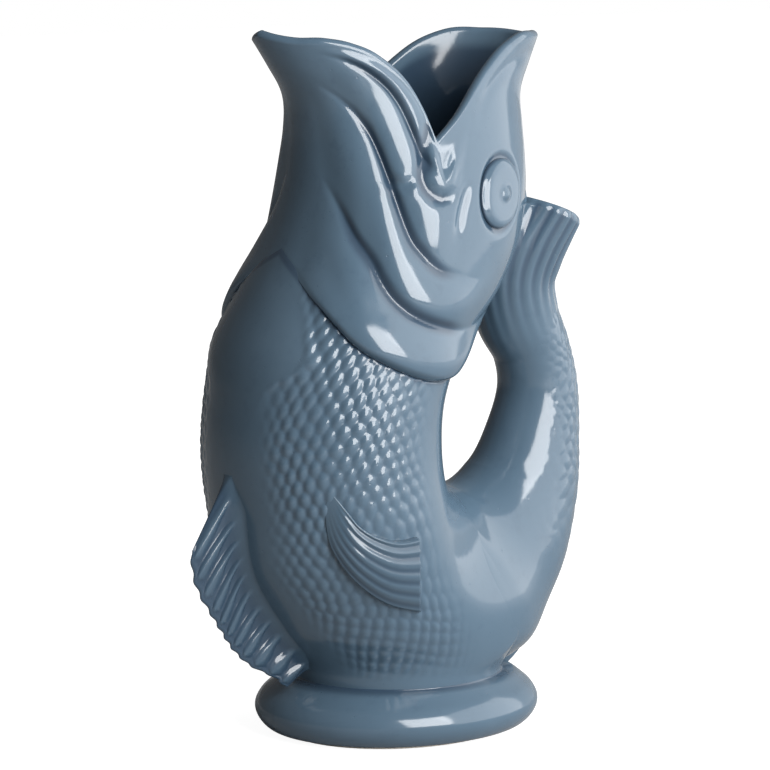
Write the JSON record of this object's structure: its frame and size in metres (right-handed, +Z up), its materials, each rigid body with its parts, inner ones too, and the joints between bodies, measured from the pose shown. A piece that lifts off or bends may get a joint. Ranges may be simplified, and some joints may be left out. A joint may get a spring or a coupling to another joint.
{
  "type": "fish shaped gurgle jug",
  "caption": "Glazed ceramic jug shaped as a fish standing on its belly, with an open mouth as the spout and its tail curled up as the handle.",
  "frame": {"origin": "middle of the foot, on the table that the jug stands on", "axes": "+Z up, -X towards the spout, +X towards the tail handle, and the XZ plane is the plane of symmetry"},
  "size_m": [0.1613, 0.096, 0.24],
  "materials": {
    "glaze": "glossy slate blue glaze over white earthenware",
    "bare_clay": "bare fired clay, matt"
  },
  "bodies": {
    "root": {"bare_ring": "bare_clay", "foot": "glaze", "trunk": "glaze", "head": "glaze", "tail_handle": "glaze", "tail_fin": "glaze", "front_fin": "glaze", "rear_fin": "glaze", "side_fin_left": "glaze", "side_fin_right": "glaze", "eye_left": "glaze", "eye_right": "glaze"}
  },
  "joints": []
}
